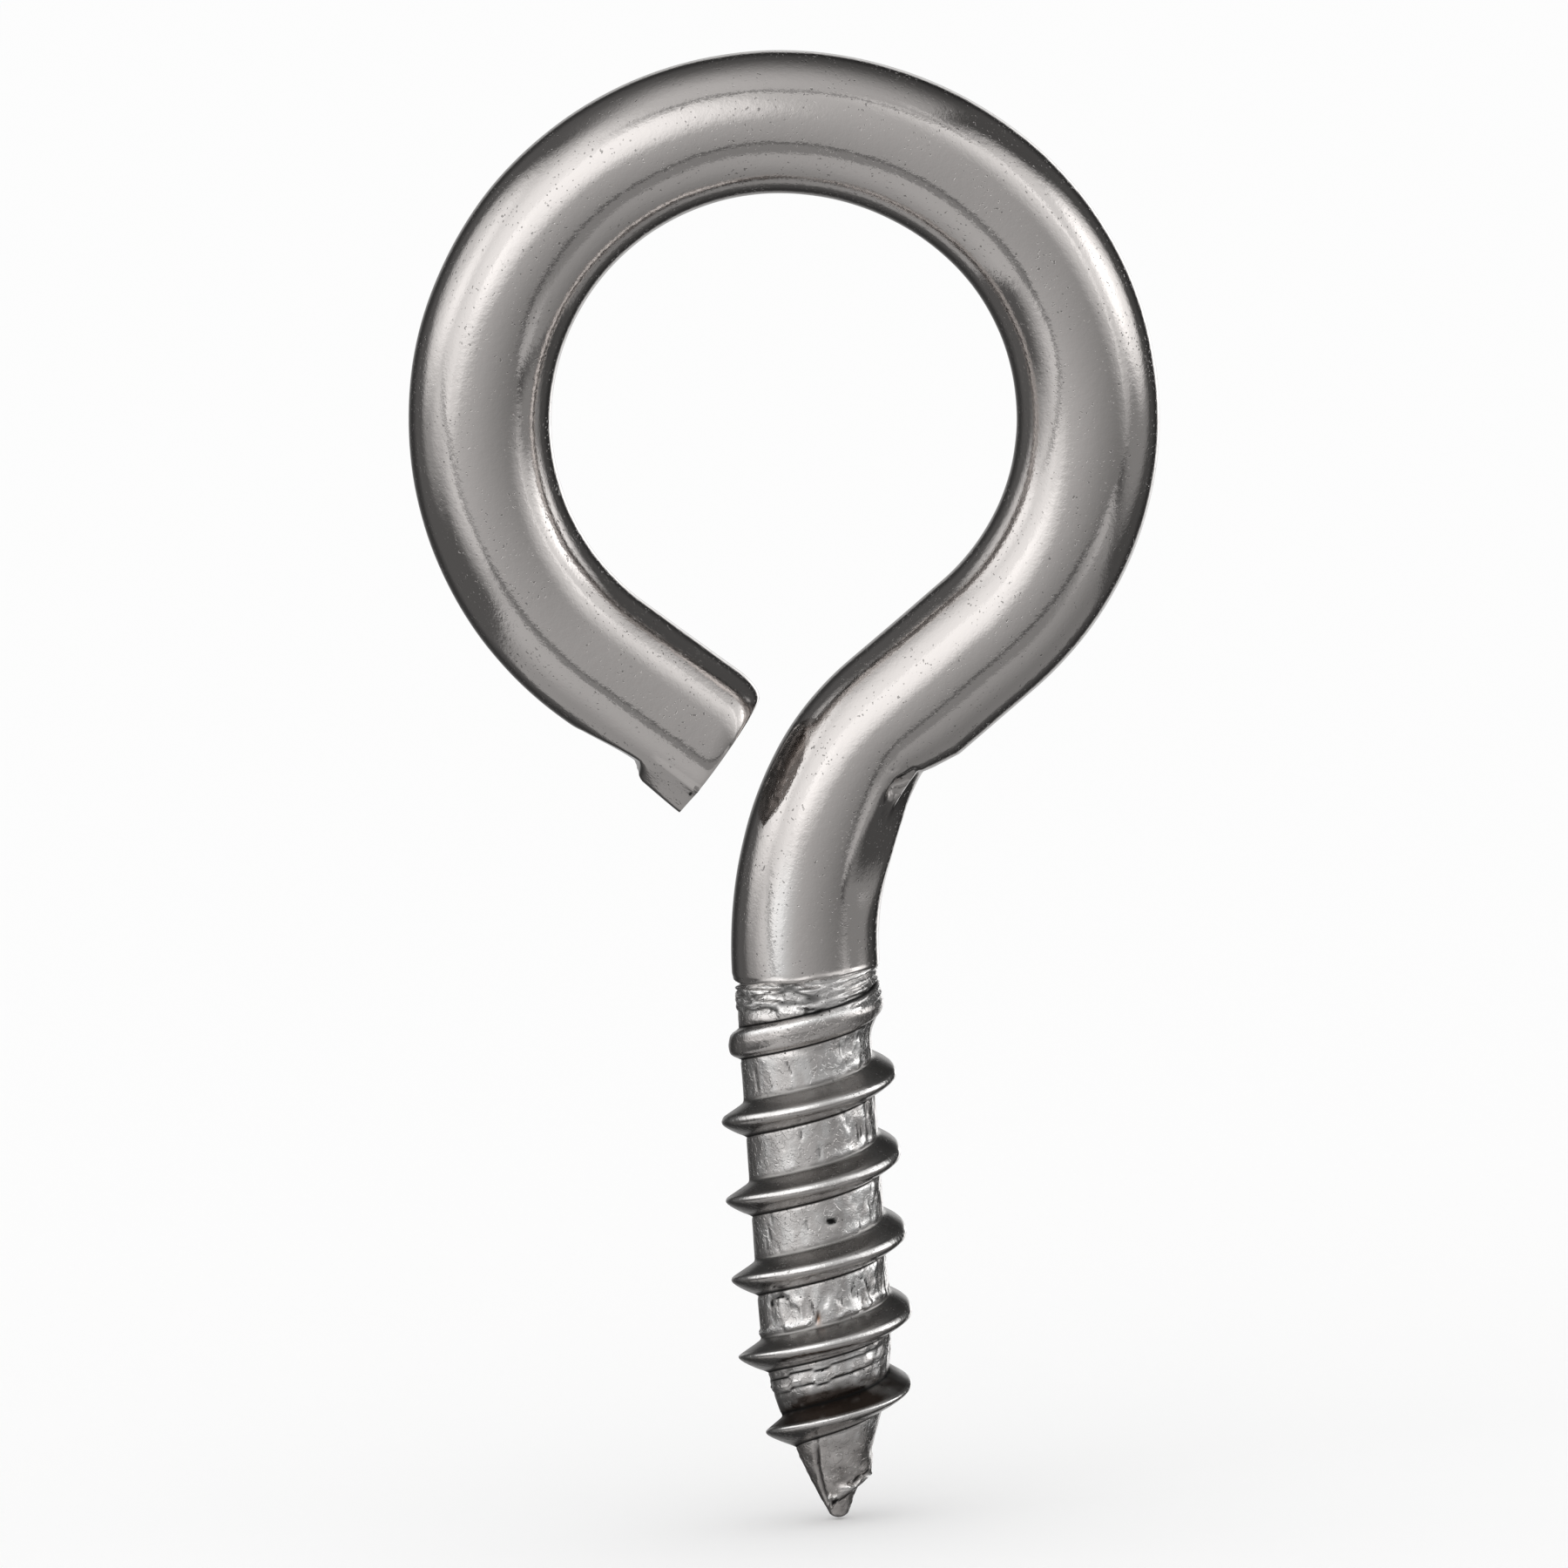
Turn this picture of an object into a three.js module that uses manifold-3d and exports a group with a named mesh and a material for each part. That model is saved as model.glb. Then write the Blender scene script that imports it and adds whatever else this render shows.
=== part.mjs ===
// Screw eye: one length of round wire. From the gimlet point upwards it is a rolled right-hand
// wood-screw thread, a neck that swings sideways, and a nearly closed round eye that ends in a
// flat sheared face beside the neck.
//
// Frame: millimetres. +Z runs from the point to the eye, the eye lies in the XZ plane, and the
// sheared end is on the -X side when seen from the front (-Y). The origin is level with the
// point, under the middle of the eye.

import * as THREE from 'three';
import { mergeVertices } from 'three/addons/utils/BufferGeometryUtils.js';
import Module from 'manifold-3d';

const { degToRad, lerp, smoothstep } = THREE.MathUtils;

// ---- wire ----
const WIRE_DIAMETER = 4.1;
const WIRE_STEP = 0.9; // length of one facet along the wire
const WIRE_SIDES = 28;

// ---- eye and neck, followed from the screw to the free end ----
const SCREW_AXIS_X = -0.62; // the screw runs down beside the middle of the eye
const NECK_OFFSET = 0.16; // the plain wire sits slightly proud of the screw on the +X side
const NECK_START_Z = 15.3; // buried in the top of the screw
const NECK_BEND_Z = 16.0;
const NECK_LOWER_BEND = { radius: 10.6, sweep: -29.7 }; // negative sweeps turn towards +X
const NECK_UPPER_BEND = { radius: 5.9, sweep: -23.3 };
const NECK_STRAIGHT = 3.66;
const EYE_BENDS = [
  { radius: 8.35, sweep: 99.8 },
  { radius: 9.2, sweep: 34.7 },
  { radius: 8.6, sweep: 148.3 },
];
const END_STRAIGHT = 4.3;

// ---- sheared free end ----
const SHEAR_TILT = 4; // degrees off square
const SHEAR_ALLOWANCE = 0.2; // extra wire that the shear cuts away

// ---- marks left by the bending tool on the outside of the wire ----
const END_FLAT = { back: 1.7, length: 5.4, depth: 0.25 };
const NECK_IMPRINT = { fromStart: 7.3, radius: 2.6, depth: 0.24 };
const TOOL_WIDTH = 6;
const TOOL_SIDES = 48;

// ---- screw ----
const PITCH = 2.25;
const THREAD_HEIGHT = 0.7;
const THREAD_FOOT = 0.5; // half the width of the ridge where it meets the core
const THREAD_CREST = 0.07; // half the width of the ridge at its crest
const THREAD_SINK = 0.3; // how far the ridge is buried in the core
const THREAD_BOTTOM_Z = 1.2;
const THREAD_FULL_FROM_Z = 2.8;
const THREAD_FULL_TO_Z = 12.9;
const THREAD_ROUNDED_Z = 13.8; // from here up the ridge is low, because it is only part rolled
const THREAD_FADE_Z = 15.0; // from here up the ridge dies away into the neck
const THREAD_TOP_Z = 15.6;
const ROUNDED_HEIGHT = 0.58; // share of the full height
const NARROWEST_RIDGE = 0.4; // share of the full width where the ridge fades out
const CREST_LEFT_Z = 9.35; // a height at which the crest passes the -X side
const THREAD_SIDES = 28;
const CORE_PROFILE = [ // [radius, height above the point]
  [0.22, 0.0],
  [0.42, 0.35],
  [0.78, 1.2],
  [1.1, 2.1],
  [1.42, 3.1],
  [1.65, 4.0],
  [1.79, 5.0],
  [1.84, 7.0],
  [1.85, 15.0],
  [1.95, 15.6],
];

// ---- finish ----
const STEEL = { color: 0xa29d9a, metalness: 1, roughness: 0.25 };

/** A path of straight lines and arcs in the XZ plane, followed at a steady pace. */
class WirePath extends THREE.Curve {
  constructor(start, runs) {
    super();
    this.start = start;
    this.runs = runs.map(({ length, radius, sweep = 0 }) => ({
      turn: degToRad(sweep),
      length: length ?? radius * degToRad(Math.abs(sweep)),
    }));
    this.total = this.runs.reduce((sum, run) => sum + run.length, 0);
  }

  /** Place and heading at a distance along the path; the heading starts upwards. */
  at(distance) {
    let { x, z } = this.start;
    let heading = Math.PI / 2;
    let left = distance;
    for (const run of this.runs) {
      const share = Math.min(left / run.length, 1);
      const turned = run.turn * share;
      const chord = turned === 0
        ? run.length * share
        : 2 * Math.abs(run.length / run.turn) * Math.sin(Math.abs(turned) / 2);
      x += chord * Math.cos(heading + turned / 2);
      z += chord * Math.sin(heading + turned / 2);
      heading += turned;
      left -= run.length * share;
      if (left <= 0) break;
    }
    return { point: new THREE.Vector3(x, 0, z), heading };
  }

  getPoint(t, target = new THREE.Vector3()) {
    return target.copy(this.at(t * this.total).point);
  }

  computeFrenetFrames(segments) {
    const tangents = [];
    const normals = [];
    const binormals = [];
    for (let i = 0; i <= segments; i++) {
      const { heading } = this.at(this.total * i / segments);
      const tangent = new THREE.Vector3(Math.cos(heading), 0, Math.sin(heading));
      const normal = new THREE.Vector3(0, 1, 0);
      tangents.push(tangent);
      normals.push(normal);
      binormals.push(new THREE.Vector3().crossVectors(tangent, normal));
    }
    return { tangents, normals, binormals };
  }
}

/** The buried foot of the ridge: a right-hand helix. Its frames scale the ridge's section. */
class RidgePath extends THREE.Curve {
  height(t) {
    return lerp(THREAD_BOTTOM_Z, THREAD_TOP_Z, t);
  }

  angle(t) {
    return Math.PI + 2 * Math.PI * (this.height(t) - CREST_LEFT_Z) / PITCH;
  }

  getPoint(t, target = new THREE.Vector3()) {
    const radius = coreRadius(this.height(t)) - THREAD_SINK;
    return target.set(
      radius * Math.cos(this.angle(t)),
      radius * Math.sin(this.angle(t)),
      this.height(t),
    );
  }

  getPointAt(t, target) {
    return this.getPoint(t, target);
  }

  computeFrenetFrames(segments) {
    const tangents = [];
    const normals = [];
    const binormals = [];
    for (let i = 0; i <= segments; i++) {
      const t = i / segments;
      const angle = this.angle(t);
      const share = ridgeHeight(this.height(t));
      const tall = (THREAD_SINK + share * THREAD_HEIGHT) / (THREAD_SINK + THREAD_HEIGHT);
      tangents.push(new THREE.Vector3(-Math.sin(angle), Math.cos(angle), 0));
      normals.push(new THREE.Vector3(Math.cos(angle), Math.sin(angle), 0).multiplyScalar(tall));
      binormals.push(new THREE.Vector3(0, 0, -lerp(NARROWEST_RIDGE, 1, share)));
    }
    return { tangents, normals, binormals };
  }
}

/** Radius of the core at a height above the point. */
function coreRadius(z) {
  const above = Math.max(1, CORE_PROFILE.findIndex(([, height]) => height >= z));
  const [lowRadius, lowZ] = CORE_PROFILE[above - 1];
  const [highRadius, highZ] = CORE_PROFILE[above];
  return lerp(lowRadius, highRadius, (z - lowZ) / (highZ - lowZ));
}

/** Share of the full ridge height: it grows from the point and is part rolled near the neck. */
function ridgeHeight(z) {
  const grown = smoothstep(z, THREAD_BOTTOM_Z, THREAD_FULL_FROM_Z);
  const rolled = 1 - (1 - ROUNDED_HEIGHT) * smoothstep(z, THREAD_FULL_TO_Z, THREAD_ROUNDED_Z);
  const kept = 1 - smoothstep(z, THREAD_FADE_Z, THREAD_TOP_Z);
  return grown * rolled * kept;
}

/** Round section of the wire. */
function wireSection() {
  const section = new THREE.Shape();
  section.absarc(0, 0, WIRE_DIAMETER / 2, 0, 2 * Math.PI, false);
  return section;
}

/** Section of the ridge: x runs out from its buried foot, y runs along the screw. */
function ridgeSection() {
  const slope = (THREAD_FOOT - THREAD_CREST) / THREAD_HEIGHT;
  const buried = THREAD_FOOT + slope * THREAD_SINK;
  const crest = THREAD_SINK + THREAD_HEIGHT;
  return new THREE.Shape([
    new THREE.Vector2(0, -buried),
    new THREE.Vector2(crest, -THREAD_CREST),
    new THREE.Vector2(crest, THREAD_CREST),
    new THREE.Vector2(0, buried),
  ]);
}

function neckAndEyePath() {
  return new WirePath({ x: SCREW_AXIS_X + NECK_OFFSET, z: NECK_START_Z }, [
    { length: NECK_BEND_Z - NECK_START_Z },
    NECK_LOWER_BEND,
    NECK_UPPER_BEND,
    { length: NECK_STRAIGHT },
    ...EYE_BENDS,
    { length: END_STRAIGHT + SHEAR_ALLOWANCE },
  ]);
}

/** The bent wire, still round and with spare length at its free end. */
function wireGeometry(path) {
  return new THREE.ExtrudeGeometry(wireSection(), {
    extrudePath: path,
    steps: Math.round(path.total / WIRE_STEP),
    curveSegments: WIRE_SIDES / 2, // a full circle gets two points for each
  });
}

/** The core of the screw, from the point to just inside the neck. */
function coreGeometry() {
  const [, tipZ] = CORE_PROFILE[0];
  const [, topZ] = CORE_PROFILE.at(-1);
  const outline = [
    new THREE.Vector2(0, tipZ),
    ...CORE_PROFILE.map(([radius, z]) => new THREE.Vector2(radius, z)),
    new THREE.Vector2(0, topZ),
  ];
  return new THREE.LatheGeometry(outline, THREAD_SIDES).rotateX(Math.PI / 2);
}

/** The helical ridge, buried a little way into the core. */
function ridgeGeometry() {
  const turns = (THREAD_TOP_Z - THREAD_BOTTOM_Z) / PITCH;
  return new THREE.ExtrudeGeometry(ridgeSection(), {
    extrudePath: new RidgePath(),
    steps: Math.round(turns * THREAD_SIDES),
  });
}

/** A thin block that removes everything past the sheared end without reaching the neck. */
function shearGeometry(path) {
  const across = 1.2 * WIRE_DIAMETER;
  const along = 2 * SHEAR_ALLOWANCE;
  const { point, heading } = path.at(path.total - SHEAR_ALLOWANCE);
  return new THREE.BoxGeometry(along, across, across)
    .translate(along / 2, 0, 0)
    .rotateY(-heading - degToRad(SHEAR_TILT))
    .translate(point.x, 0, point.z);
}

/** A block that flattens the outside of the wire a little way back from the free end. */
function endFlatGeometry(path) {
  const { point, heading } = path.at(path.total - SHEAR_ALLOWANCE - END_FLAT.back);
  const height = WIRE_DIAMETER;
  return new THREE.BoxGeometry(END_FLAT.length, TOOL_WIDTH, height)
    .translate(-END_FLAT.length / 2, 0, END_FLAT.depth - (WIRE_DIAMETER + height) / 2)
    .rotateY(-heading)
    .translate(point.x, 0, point.z);
}

/** The round bending tool, pressed into the hollow side of the neck. */
function neckImprintGeometry(path) {
  const { point, heading } = path.at(NECK_IMPRINT.fromStart);
  const reach = WIRE_DIAMETER / 2 + NECK_IMPRINT.radius - NECK_IMPRINT.depth;
  return new THREE.CylinderGeometry(NECK_IMPRINT.radius, NECK_IMPRINT.radius, TOOL_WIDTH, TOOL_SIDES)
    .translate(point.x + reach * Math.sin(heading), 0, point.z - reach * Math.cos(heading));
}

/** A closed geometry as a solid that can be joined and cut. */
function solid(wasm, geometry) {
  const bare = geometry.clone();
  bare.deleteAttribute('normal');
  bare.deleteAttribute('uv');
  const merged = mergeVertices(bare, 1e-5);
  return new wasm.Manifold(new wasm.Mesh({
    numProp: 3,
    vertProperties: new Float32Array(merged.attributes.position.array),
    triVerts: new Uint32Array(merged.index.array),
  }));
}

/** A solid back as a geometry with flat-shaded faces. */
function geometryOf(body) {
  const mesh = body.getMesh();
  const geometry = new THREE.BufferGeometry();
  geometry.setAttribute('position', new THREE.BufferAttribute(mesh.vertProperties, 3));
  geometry.setIndex(new THREE.BufferAttribute(mesh.triVerts, 1));
  geometry.computeVertexNormals();
  return geometry;
}

/** The whole screw eye as one piece. */
async function screwEye() {
  const wasm = await Module();
  wasm.setup();
  const path = neckAndEyePath();
  const core = coreGeometry().translate(SCREW_AXIS_X, 0, 0);
  const ridge = ridgeGeometry().translate(SCREW_AXIS_X, 0, 0);
  const body = solid(wasm, wireGeometry(path))
    .add(solid(wasm, core))
    .add(solid(wasm, ridge))
    .subtract(solid(wasm, shearGeometry(path)))
    .subtract(solid(wasm, endFlatGeometry(path)))
    .subtract(solid(wasm, neckImprintGeometry(path)));
  const mesh = new THREE.Mesh(geometryOf(body), new THREE.MeshStandardMaterial(STEEL));
  mesh.name = 'screw_eye';
  return mesh;
}

const group = new THREE.Group();
group.add(await screwEye());

export default group;
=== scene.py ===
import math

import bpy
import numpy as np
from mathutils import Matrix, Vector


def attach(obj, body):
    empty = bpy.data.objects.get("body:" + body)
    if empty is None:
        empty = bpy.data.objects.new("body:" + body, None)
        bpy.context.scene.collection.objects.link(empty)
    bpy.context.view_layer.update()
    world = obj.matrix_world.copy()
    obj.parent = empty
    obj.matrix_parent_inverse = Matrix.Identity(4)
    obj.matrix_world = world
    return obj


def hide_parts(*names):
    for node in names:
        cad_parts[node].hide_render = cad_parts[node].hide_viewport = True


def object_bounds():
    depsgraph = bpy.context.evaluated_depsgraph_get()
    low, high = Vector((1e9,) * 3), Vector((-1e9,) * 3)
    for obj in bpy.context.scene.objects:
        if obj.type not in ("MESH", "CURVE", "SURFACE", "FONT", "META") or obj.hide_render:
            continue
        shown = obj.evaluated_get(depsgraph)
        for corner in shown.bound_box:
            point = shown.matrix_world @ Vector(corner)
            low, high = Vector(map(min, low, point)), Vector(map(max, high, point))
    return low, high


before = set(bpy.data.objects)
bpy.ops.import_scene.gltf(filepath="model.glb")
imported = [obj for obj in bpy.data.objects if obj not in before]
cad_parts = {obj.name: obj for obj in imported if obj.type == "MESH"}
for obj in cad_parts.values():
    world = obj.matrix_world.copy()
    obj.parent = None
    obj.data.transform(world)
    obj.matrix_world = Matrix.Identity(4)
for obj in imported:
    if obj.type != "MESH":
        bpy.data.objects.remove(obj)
cad_low, cad_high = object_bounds()

# A steel screw eye, seen from the front: one bent wire with a rolled thread. All sizes below are
# in millimetres. "Along" is the distance from the point of the screw, measured along the middle
# of the wire, and "round" is the angle round the wire: 0 is the outside of the eye, 90 the back,
# 180 the inside of the eye and 270 the front.

MM = 0.001

# ---- wire, followed from the point to the free end ----
WIRE_RADIUS = 2.05
SCREW_AXIS_X = -0.62
NECK_OFFSET = 0.16  # the plain wire sits slightly proud of the screw on the outside
NECK_BEND_ALONG = 16.0
NECK_SWELL = 0.07  # the neck's radius is this much larger than that of the eye's wire
WIRE_RUNS = [  # (length or radius, degrees turned towards the left)
    (NECK_BEND_ALONG, 0.0),
    (10.6, -29.7),
    (5.9, -23.3),
    (3.66, 0.0),
    (8.35, 99.8),
    (9.2, 34.7),
    (8.6, 148.3),
    (4.3, 0.0),
]

# ---- thread ----
PITCH = 2.25
CREST_LEFT_Z = 9.35  # a height at which the crest passes the inside of the screw
THREAD_FOOT = 0.5  # half the width of the ridge where it meets the core
UPPER_SLOPE = 1.78
LOWER_SLOPE = 1.53
LOWER_CURVE = 1.5  # above 1, the lower flank bulges near the crest
LAND_SLOPE = 0.45  # the narrow land on the crest leans back by this much
LAND_START = -0.02  # the land begins this far from the line of the crest
LAND_ROUNDING = 0.025
CREST_ROUNDING = 0.05
FOOT_ROUNDING = 0.07
UPPER_FOOT_CUT = 0.04  # the upper flank meets the core this much sooner than the lower one
LOW_FOOT_CUT = 0.07  # the ridge is narrower by this much where it starts, near the point
PART_ROLLED = {  # the top turn, where the crest is not fully formed
    "from": 13.0, "to": 13.8, "less_slope": 0.6, "land_rounding": 0.095, "crest_rounding": 0.12,
}
THREAD_START_Z = 2.0  # the ridge has distinct flanks from here
THREAD_END_Z = 13.6  # up to here
RIDGE_PLAN = [  # (height of the crest above the point, how far it stands above the core)
    (0.55, 0.0),
    (0.9, 0.05),
    (1.5, 0.19),
    (2.6, 0.65),
    (3.2, 0.76),
    (4.5, 0.74),
    (6.0, 0.68),
    (12.8, 0.68),
    (13.8, 0.37),
    (14.4, 0.26),
    (15.0, 0.12),
    (15.5, 0.0),
]
THREAD_RUNOUT = [  # (along, how far the thread runs ahead of an even pitch)
    (6.5, 0.0),
    (9.4, 0.07),
    (12.7, 0.16),
    (14.0, 0.08),
]
LEAN = 0.06  # how far the thread stands off centre, towards the inside, half-way up
CORE_RADIUS = 1.89
CORE_FULL_Z = 6.0  # the core tapers below this height
TIP_RADIUS = 0.22
TIP_ROUND_Z = 0.14

# ---- mesh ----
SCREW_COLUMNS = 224
LINES_PER_TURN = 34
SCREW_TOP = 17.0  # the threaded part of the mesh ends here
THREAD_STEP = PITCH / LINES_PER_TURN
EVEN_LINE_ALONG = 9  # here the grid lines sit exactly on the even thread
CREST_GATHERING = 1.6  # how much closer the grid lines are at the crest
FOOT_GATHERING = 0.6
FACE_RINGS = (  # sizes of the rings on the sheared face, as shares of its edge
    0.97, 0.9, 0.8, 0.7, 0.6, 0.5, 0.4, 0.3, 0.2, 0.1,
)
SHARP_ANGLE = math.radians(50)
SCREW_STEPS = [  # (along, distance between grid lines)
    (0.0, 0.02),
    (0.6, THREAD_STEP),
    (14.9, THREAD_STEP),
    (15.3, 0.038),
    (16.1, 0.038),
    (16.6, 0.09),
    (SCREW_TOP, 0.15),
]
WIRE_STEPS = [
    (SCREW_TOP, 0.15),
    (19.0, 0.14),
    (20.5, 0.09),
    (24.0, 0.09),
    (26.0, 0.24),
    (66.0, 0.24),
    (67.5, 0.12),
    (73.0, 0.09),
    (75.0, 0.04),
]

# ---- marks ----
NECK_NOTCH_ALONG = 23.44
NECK_DIP_PLAN = [  # (along, how far the outline dips at the outside)
    (20.0, 0.0),
    (21.3, 0.05),
    (22.6, 0.17),
    (NECK_NOTCH_ALONG, 0.3),
    (24.7, 0.0),
]
NECK_FLAT_FRONT = 306  # the front edge of the flat, in degrees round the wire
NECK_FLAT_HALF_ANGLE = 31  # half the angle that the flat covers just below the notch
NECK_FLAT_LENGTH = 6.6
END_FLAT = {"back": 1.7, "length": 2.6, "round": 352, "depth": 0.27}
BAND_START = 14.75
BAND_LIP = 15.9
ROLLED_FLAKES = [  # (along, degrees round, half length, half width)
    (6.4, 231, 0.42, 0.40),
    (6.55, 305, 0.48, 0.30),
]
SEAMS = [  # (along, degrees round, half length)
    (13.40, 255, 0.26),
    (13.16, 218, 0.22),
    (11.44, 260, 0.2),
    (10.90, 275, 0.22),
    (8.80, 260, 0.22),
    (8.56, 221, 0.28),
    (6.42, 258, 0.34),
    (6.50, 285, 0.2),
]
FOLDS = [4.25, 4.66]  # heights, at the front, of the long folds low on the core
RAISED_FOLD = 0.13  # the metal stands up this far above the lower of them
TAB_CORNER = {"front": 322, "rear": 375, "rear_radius": 1.97}
SHEAR_TILT = math.radians(-1)

# ---- how high or deep the marks are, in millimetres ----
FLAKE_HEIGHT = 0.013
RIPPLE_HEIGHT = 0.008
FOLD_HEIGHT = 0.045
BURR_HEIGHT = 0.07
CRACK_DEPTH = 0.04
CORE_PIT_DEPTH = 0.1
BAND_DEPTH = 0.045
WRINKLE_HEIGHT = 0.065
SCRATCH_HEIGHT = 0.045
FINE_HEIGHT = 0.008
BAND_RIM_HEIGHT = 0.045
DENT_DEPTH = 0.02
TIP_ROUGHNESS = 0.024
TIP_FLAT_DEPTH = 0.11
TIP_FLUTE_DEPTH = 0.07
TIP_RIM_HEIGHT = 0.15
TIP_UNDERCUT = 0.03
TIP_CHIP_HEIGHT = 0.08
SCOOP_DEPTH = 0.25
SCOOP_LIP_HEIGHT = 0.13
CRESCENT_DEPTH = 0.08
NECK_PIT_DEPTH = 0.05
WIRE_RIPPLE = 0.010
WIRE_FINE_RIPPLE = 0.0025
TEAR_HEIGHT = 0.025
TORN_DEPTH = 0.04

# ---- camera ----
CAMERA_ELEVATION = math.radians(8)
CAMERA_ROLL = math.radians(4.07)
LENS = 1000
SENSOR = 36
VIEW_HEIGHT = 45  # height of the scene that the picture covers
VIEW_SHIFT = Vector((-0.745, 0, 0.09))  # from the middle of the part to the middle of the picture

# ---- studio ----
STUDIO_CONTRAST = 1.37
STUDIO_SHADE = 0.062
BACKDROP = 0.98
FLOOR_RADIUS = 3  # in metres
FLOOR_GAP = 0.05

# ---- colours of the metal ----
STEEL = (0.645, 0.613, 0.595)
# bright rubbed metal, also the colour of painted highlights
WORN_AND_HIGHLIGHT_STEEL = (0.94, 0.93, 0.92)
# painted shade on the flanks of the thread
FLANK_PAINTED_SHADE = (0.33, 0.32, 0.31)
RUST = (0.30, 0.14, 0.06)
DIRT = (0.045, 0.03, 0.022)
# pits and cracks, and also painted shade in creases
DARK_PIT_AND_SHADE = (0.02, 0.02, 0.02)


# =============================== shape ===============================

def smooth(low, high, value):
    """0 below low, 1 above high, and an even ramp between them."""
    t = np.clip((value - low) / (high - low), 0, 1)
    return t * t * (3 - 2 * t)


def span(start, full, fading, end, value):
    """0 below start, 1 from full to fading, and 0 again above end."""
    return smooth(start, full, value) * smooth(end, fading, value)


def bump(middle, half_width, value):
    """1 at the middle, falling smoothly to nothing."""
    return np.exp(-(((value - middle) / half_width) ** 2))


def soft_min(a, b, rounding):
    """The smaller value, with a rounded change from one to the other."""
    return 0.5 * (a + b - np.sqrt((a - b) ** 2 + rounding ** 2))


def soft_max(a, b, rounding):
    """The larger value, with a rounded change from one to the other."""
    return -soft_min(-a, -b, rounding)


def turn_from(degrees, around):
    """Angle from a place round the wire, between -pi and pi."""
    return (around - np.radians(degrees) + math.pi) % (2 * math.pi) - math.pi


def near(degrees, half_width, around):
    """1 at an angle round the wire, falling off over half_width degrees."""
    return bump(0, math.radians(half_width), turn_from(degrees, around))


def clear_of(degrees, start, end, around):
    """0 within start degrees of an angle round the wire and 1 beyond end degrees.

    With start larger than end it is 1 within end degrees and 0 beyond start degrees.
    """
    return smooth(math.radians(start), math.radians(end), np.abs(turn_from(degrees, around)))


def spot(along, around, place, degrees, long, wide):
    """A soft spot on the wire: 1 in the middle, long mm one way and wide mm round the wire."""
    across = turn_from(degrees, around) * WIRE_RADIUS
    return np.exp(-(((along - place) / long) ** 2) - (across / wide) ** 2)


def run_length(size, degrees):
    """Length of one run of the wire: an arc if it turns, and otherwise a straight."""
    return size * abs(math.radians(degrees)) if degrees else size


WIRE_LENGTH = sum(run_length(*run) for run in WIRE_RUNS)


def centre_line(along):
    """Middle of the wire and its outward direction in the XZ plane: x, z, out_x, out_z."""
    x, z, heading, start = SCREW_AXIS_X + NECK_OFFSET, 0.0, math.pi / 2, 0.0
    middle_x, middle_z, headings = (np.zeros_like(along) for _ in range(3))
    for size, degrees in WIRE_RUNS:
        length, turn = run_length(size, degrees), math.radians(degrees)
        here = np.append(along - start, length)
        turned = turn * here / length
        chord = 2 * size * np.sin(turned / 2) * np.sign(turn) if turn else here
        run_x = x + chord * np.cos(heading + turned / 2)
        run_z = z + chord * np.sin(heading + turned / 2)
        reached = along >= start
        middle_x[reached] = run_x[:-1][reached]
        middle_z[reached] = run_z[:-1][reached]
        headings[reached] = heading + turned[:-1][reached]
        x, z, heading, start = run_x[-1], run_z[-1], heading + turn, start + length
    middle_x -= NECK_OFFSET * (1 - in_neck_band(along))
    return middle_x, middle_z, np.sin(headings), -np.cos(headings)


def in_neck_band(along):
    """0 on the screw, 1 from where the part-rolled thread runs out into the neck."""
    return smooth(13.9, 14.9, along)


def waves(along, around, step, cells, seed):
    """Smooth random waves from -1 to 1: step mm long along the wire, and cells of them round it."""
    rng = np.random.default_rng(seed)
    grid = rng.uniform(-1, 1, (int(WIRE_LENGTH / step) + 4, cells))
    row_place = along / step + 1
    column_place = around / (2 * math.pi) * cells
    row, column = np.floor(row_place).astype(int), np.floor(column_place).astype(int)
    down = smooth(0, 1, row_place - row)
    over = smooth(0, 1, column_place - column)
    left, right = column % cells, (column + 1) % cells
    low = grid[row, left] * (1 - over) + grid[row, right] * over
    high = grid[row + 1, left] * (1 - over) + grid[row + 1, right] * over
    return low * (1 - down) + high * down


def core_radius(z):
    """Radius of the screw without its thread."""
    tapered = CORE_RADIUS * (1 - np.clip(1 - z / CORE_FULL_Z, 0, 1) ** 2)
    rounded = np.sqrt(np.clip(1 - (1 - np.clip(z / TIP_ROUND_Z, 0.02, 1)) ** 2, 0, 1))
    return (tapered + TIP_RADIUS * np.exp(-z)) * rounded + NECK_OFFSET * in_neck_band(z)


def runout(along):
    """How far the thread runs ahead of an even pitch near its upper end."""
    return np.interp(along, *zip(*THREAD_RUNOUT))


def from_crest(along, around):
    """Distance along the screw from the nearest crest, between -PITCH/2 and PITCH/2."""
    crest = CREST_LEFT_Z + PITCH * (around - math.pi) / (2 * math.pi)
    return (along - runout(along) - crest + PITCH / 2) % PITCH - PITCH / 2


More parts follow.
